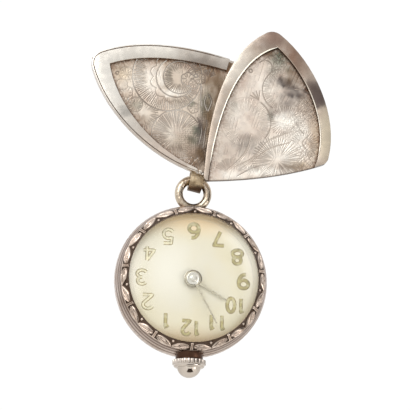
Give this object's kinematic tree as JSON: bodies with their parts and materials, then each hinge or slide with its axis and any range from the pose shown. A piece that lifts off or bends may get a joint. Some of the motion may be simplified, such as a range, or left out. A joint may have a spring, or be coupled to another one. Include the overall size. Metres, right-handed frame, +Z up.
{
  "type": "chatelaine watch pin",
  "caption": "Pin-back brooch of overlapping silver wing plates with a round pendant watch that swings from a strap bail.",
  "frame": {"origin": "middle of the pin stem on the back of the wings, where it goes through the cloth", "axes": "+X to the right as seen from the front, +Z up, the front faces -Y, so +Y points into the cloth"},
  "size_m": [0.0425, 0.0095, 0.0618],
  "materials": {
    "left_wing": "tarnished silver, engraved",
    "right_wing": "tarnished silver, engraved",
    "rivet": "tarnished silver",
    "bail": "tarnished, bare base metal showing",
    "pin_back": "satin",
    "case_band": "chased and polished",
    "bow": "polished",
    "case_back": "polished",
    "bezel": "cast relief with dark ground",
    "crystal": "polished",
    "dial": "silvered ivory, matte",
    "movement": "satin",
    "hour_hand": "polished",
    "minute_hand": "polished",
    "crown_stem": "polished",
    "crown": "polished"
  },
  "bodies": {
    "brooch": {"left_wing": "left_wing", "right_wing": "right_wing", "rivet": "rivet", "bail": "bail", "pin_back": "pin_back"},
    "watch": {"case_band": "case_band", "bow": "bow", "case_back": "case_back", "bezel": "bezel", "crystal": "crystal", "dial": "dial", "movement": "movement"},
    "minute": {"minute_hand": "minute_hand"},
    "hour": {"hour_hand": "hour_hand"},
    "stem": {"crown_stem": "crown_stem"},
    "crown": {"crown": "crown"}
  },
  "joints": [
    {"name": "watch_swing", "type": "hinge", "parent": "brooch", "child": "watch", "pos_m": [-0.00295, -0.00035, -0.01362], "axis": [0.9781, 0, -0.2079], "range_deg": [-60, 60]},
    {"name": "minute_turn", "type": "hinge", "parent": "watch", "child": "minute", "pos_m": [-0.00341, -0.00035, -0.03144], "axis": [0, 1, 0], "continuous": true},
    {"name": "hour_turn", "type": "hinge", "parent": "watch", "child": "hour", "pos_m": [-0.00341, -0.00035, -0.03144], "axis": [0, 1, 0], "continuous": true},
    {"name": "crown_pull", "type": "slide", "parent": "watch", "child": "stem", "axis": [0, 0, -1], "range_m": [0, 0.0006]},
    {"name": "crown_turn", "type": "hinge", "parent": "stem", "child": "crown", "pos_m": [-0.00341, -0.00035, -0.03144], "axis": [0, 0, -1], "continuous": true}
  ],
  "couplings": [
    {"joint": "hour_turn", "follows": "minute_turn", "ratio": 0.083333}
  ]
}
